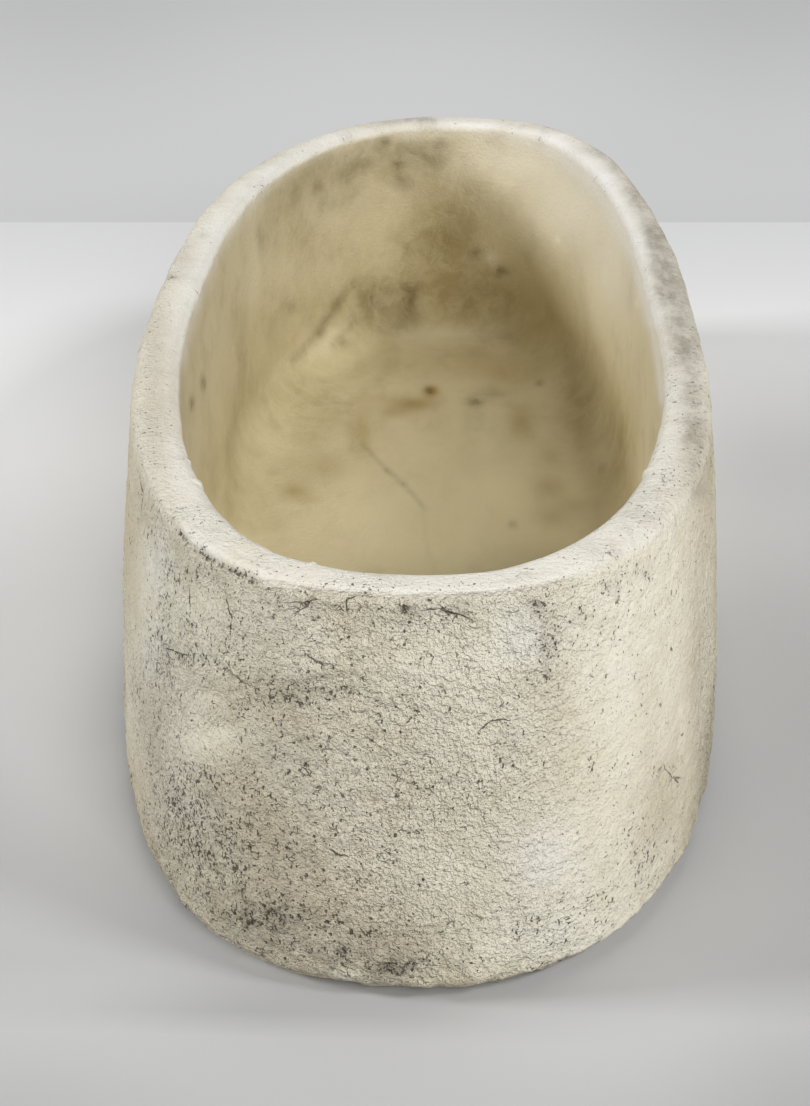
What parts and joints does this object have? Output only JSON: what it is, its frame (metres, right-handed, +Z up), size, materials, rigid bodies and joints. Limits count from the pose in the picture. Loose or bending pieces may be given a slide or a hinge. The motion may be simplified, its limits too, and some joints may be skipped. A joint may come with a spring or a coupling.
{
  "type": "oval planter",
  "caption": "Long oval trough planter with flared walls, a thick crowned rim and a flat undercut base.",
  "frame": {"origin": "centre of the flat underside, on the surface the planter stands on", "axes": "+Z up, +Y along the long axis of the oval, +X across it"},
  "size_m": [0.2614, 0.646, 0.148],
  "materials": {
    "floor_clay": "matt, fired unglazed, stained tan inside",
    "wall_clay": "matt, rough, pitted grog outside",
    "course_clay": "matt, rough, pitted grog outside",
    "rim_clay": "matt, chalky, wiped smooth",
    "corner_clay": "matt, wiped smooth, stained tan"
  },
  "bodies": {
    "root": {"floor_slab": "floor_clay", "wall_slab": "wall_clay", "upper_course": "course_clay", "rim_coil": "rim_clay", "corner_coil": "corner_clay"}
  },
  "joints": []
}
